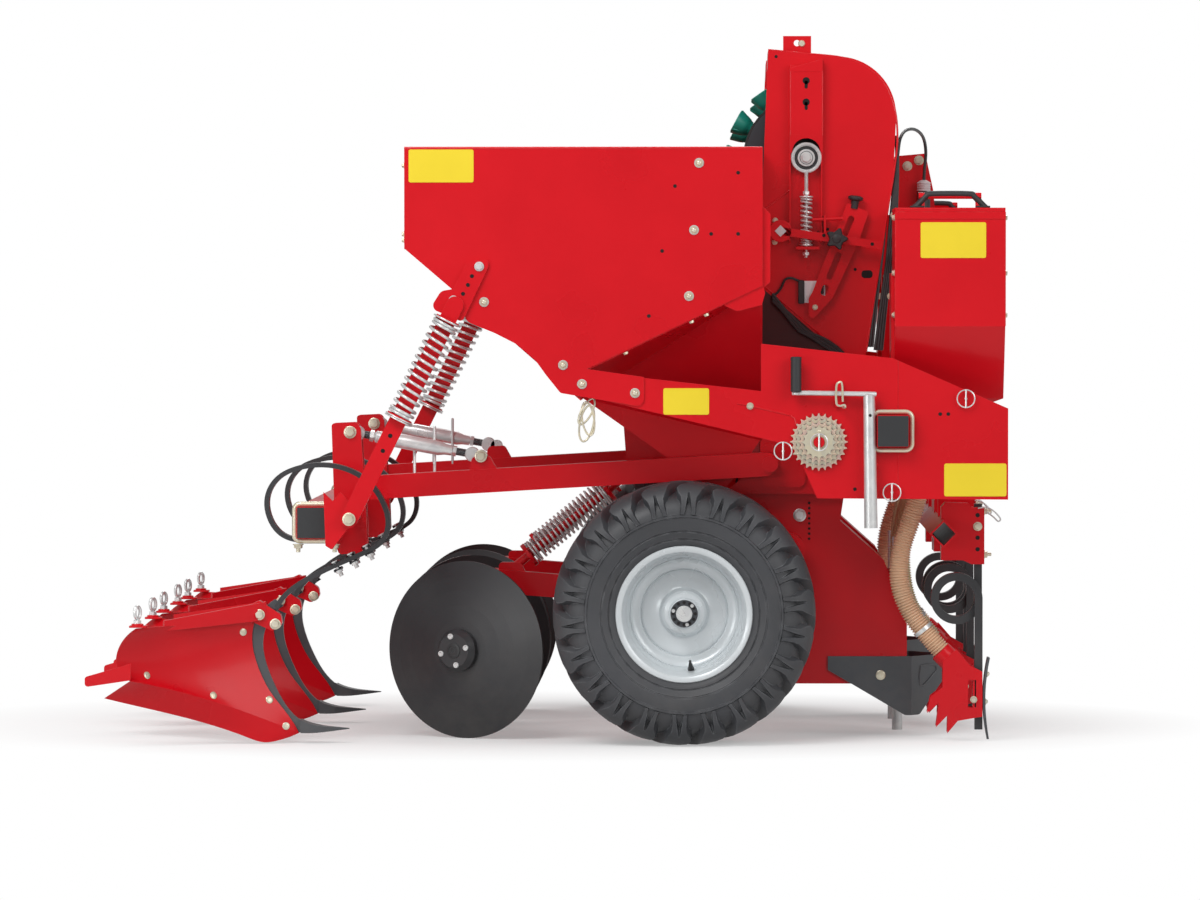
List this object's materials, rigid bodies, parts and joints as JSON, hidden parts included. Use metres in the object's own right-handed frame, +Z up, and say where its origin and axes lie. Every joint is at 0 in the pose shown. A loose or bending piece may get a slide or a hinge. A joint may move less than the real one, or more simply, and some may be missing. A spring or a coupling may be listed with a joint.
{
  "type": "potato planter",
  "caption": "Mounted row-crop potato planter with a hopper, cup-belt elevators, ground wheels, covering discs, rear ridging bodies and front fertiliser tines.",
  "frame": {"origin": "on the floor, below the middle of the whole machine", "axes": "+X is the direction of travel, +Y is to the left, +Z is up"},
  "size_m": [2.288, 2.0002, 1.783],
  "materials": {
    "red_paint": "gloss",
    "rim_paint": "satin",
    "tyre": "matte",
    "black_plastic": "matte",
    "belt_rubber": "matte",
    "cup_plastic": "satin",
    "dark_steel": "satin",
    "zinc": "satin",
    "yellow_zinc": "satin",
    "black_paint": "satin",
    "share_steel": "satin",
    "hose_plastic": "satin"
  },
  "bodies": {
    "frame": {"wheel_arms": "red_paint", "main_frame": "red_paint", "hitch_mast": "red_paint", "side_plates": "red_paint", "tube_caps": "black_plastic", "hopper_sides": "red_paint", "hopper_walls": "red_paint", "hopper_floor": "red_paint", "elevator_housings": "red_paint", "cup_belts": "belt_rubber", "belt_pulleys": "dark_steel", "belt_cups": "cup_plastic", "belt_tensioners": "zinc", "agitator_levers": "red_paint", "planting_boots": "red_paint", "furrow_shares": "share_steel", "stand_sockets": "red_paint", "disc_arms": "red_paint", "disc_spring_rods": "red_paint", "disc_springs": "zinc", "tool_beams": "red_paint", "beam_brackets": "red_paint", "tool_heads": "red_paint", "tool_cross_tube": "red_paint", "turnbuckles": "zinc", "spring_struts": "red_paint", "strut_springs": "zinc", "strut_brackets": "red_paint", "rear_spring_tines": "black_paint", "ridger_shins": "share_steel", "ridger_wings": "red_paint", "ridger_frames": "red_paint", "front_tine_bar": "red_paint", "front_coil_tines": "black_paint", "tine_shares": "share_steel", "coulters": "red_paint", "fertiliser_hoses": "hose_plastic", "fertiliser_boxes": "red_paint", "sprocket_stack": "yellow_zinc", "jack_crank": "zinc"},
    "wheel_left": {"tyre_left": "tyre", "rim_left": "rim_paint"},
    "wheel_right": {"tyre_right": "tyre", "rim_right": "rim_paint"},
    "disc_outer_left": {"cover_disc_outer_left": "black_paint"},
    "disc_inner_left": {"cover_disc_inner_left": "black_paint"},
    "disc_outer_right": {"cover_disc_outer_right": "black_paint"},
    "disc_inner_right": {"cover_disc_inner_right": "black_paint"},
    "lid_left": {"box_lid_left": "red_paint"},
    "lid_right": {"box_lid_right": "red_paint"},
    "stand_left": {"parking_stand_left": "zinc"},
    "stand_right": {"parking_stand_right": "zinc"}
  },
  "joints": [
    {"name": "wheel_left_spin", "type": "hinge", "parent": "frame", "child": "wheel_left", "pos_m": [0.338, 0.75, 0.33], "axis": [0, 1, 0], "continuous": true},
    {"name": "wheel_right_spin", "type": "hinge", "parent": "frame", "child": "wheel_right", "pos_m": [0.338, -0.75, 0.33], "axis": [0, 1, 0], "continuous": true},
    {"name": "disc_outer_left_spin", "type": "hinge", "parent": "frame", "child": "disc_outer_left", "pos_m": [-0.219, 0.565, 0.225], "axis": [-0.4695, 0.8829, 0], "continuous": true},
    {"name": "disc_inner_left_spin", "type": "hinge", "parent": "frame", "child": "disc_inner_left", "pos_m": [-0.219, 0.185, 0.225], "axis": [-0.4695, -0.8829, 0], "continuous": true},
    {"name": "disc_outer_right_spin", "type": "hinge", "parent": "frame", "child": "disc_outer_right", "pos_m": [-0.219, -0.565, 0.225], "axis": [-0.4695, -0.8829, 0], "continuous": true},
    {"name": "disc_inner_right_spin", "type": "hinge", "parent": "frame", "child": "disc_inner_right", "pos_m": [-0.219, -0.185, 0.225], "axis": [-0.4695, 0.8829, 0], "continuous": true},
    {"name": "lid_left_hinge", "type": "hinge", "parent": "frame", "child": "lid_left", "pos_m": [1, 0.545, 1.3373], "axis": [1, 0, 0], "range_deg": [0, 90]},
    {"name": "lid_right_hinge", "type": "hinge", "parent": "frame", "child": "lid_right", "pos_m": [1, -0.545, 1.3373], "axis": [-1, 0, 0], "range_deg": [0, 90]},
    {"name": "stand_left_slide", "type": "slide", "parent": "frame", "child": "stand_left", "axis": [0, 0, 1], "range_m": [0, 0.2]},
    {"name": "stand_right_slide", "type": "slide", "parent": "frame", "child": "stand_right", "axis": [0, 0, 1], "range_m": [0, 0.2]}
  ]
}
